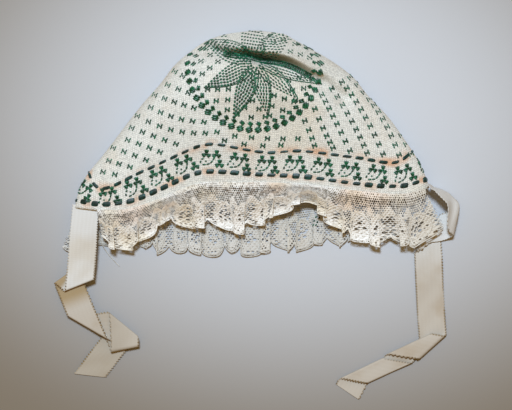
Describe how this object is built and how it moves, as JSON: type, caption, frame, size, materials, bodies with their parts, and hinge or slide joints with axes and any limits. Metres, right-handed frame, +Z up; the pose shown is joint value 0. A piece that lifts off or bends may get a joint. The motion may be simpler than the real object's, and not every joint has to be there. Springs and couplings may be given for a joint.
{
  "type": "baby cap",
  "caption": "Knitted baby bonnet lying flattened, with a rounded crown, a bordered face opening, a gathered lace frill and two folded ribbon ties.",
  "frame": {"origin": "on the table, under the middle of the box that holds the cap, its frills and its ties", "axes": "+X across the cap from one jaw corner to the other, +Y from the open edge to the crown, +Z up from the table"},
  "size_m": [0.2154, 0.1952, 0.0341],
  "materials": {
    "knit": "fine cream cotton knitting with dark green motifs",
    "threaded_ribbon": "dark green silk ribbon",
    "lace": "ecru bobbin lace",
    "tie_ribbon": "aged ivory silk ribbon with picot edges"
  },
  "bodies": {
    "root": {"knitted_cap": "knit", "upper_threaded_ribbon": "threaded_ribbon", "lower_threaded_ribbon": "threaded_ribbon", "nape_lace_frill": "lace", "brow_lace_frill": "lace", "left_tie": "tie_ribbon", "right_tie": "tie_ribbon"}
  },
  "joints": []
}
